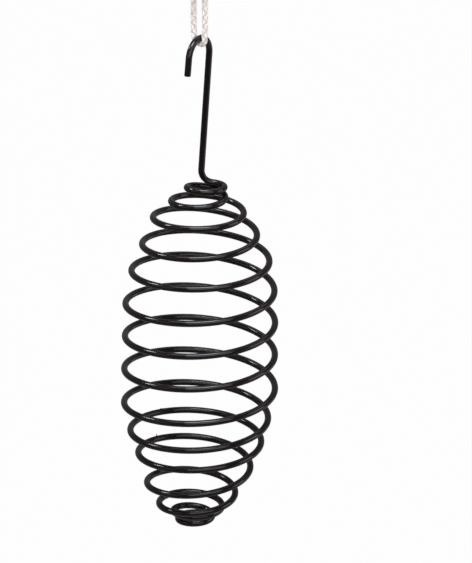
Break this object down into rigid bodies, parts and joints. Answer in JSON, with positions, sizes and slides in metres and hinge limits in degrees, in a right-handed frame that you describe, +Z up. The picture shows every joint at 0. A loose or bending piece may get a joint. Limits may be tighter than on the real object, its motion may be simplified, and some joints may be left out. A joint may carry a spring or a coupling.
{
  "type": "suet feeder",
  "caption": "Barrel-shaped coil of thick black wire with a long hooked stem, hung from a knotted loop of white braided cord, to hold suet balls for birds.",
  "frame": {"origin": "the seat inside the top of the cord's hanging eye, where a nail, branch or bracket carries the weight", "axes": "+Z up, along the way everything hangs; X lies in the plane of the wire hook, with the stem on the +X side and the hook's tip on the -X side; the cord's two strands and its eye lie in the YZ plane"},
  "size_m": [0.1016, 0.1011, 0.4248],
  "materials": {
    "black_coated_wire": "semi-gloss powder coat over round steel wire",
    "white_cord": "matt braided cord"
  },
  "bodies": {
    "cord": {"cord_eye": "white_cord", "cord_knot": "white_cord", "cord_sling": "white_cord"},
    "feeder": {"feeder_wire": "black_coated_wire"}
  },
  "joints": [
    {"name": "feeder_swing", "type": "hinge", "parent": "cord", "child": "feeder", "pos_m": [0, 0, -0.0879], "axis": [1, 0, 0], "range_deg": [-45, 45]}
  ]
}
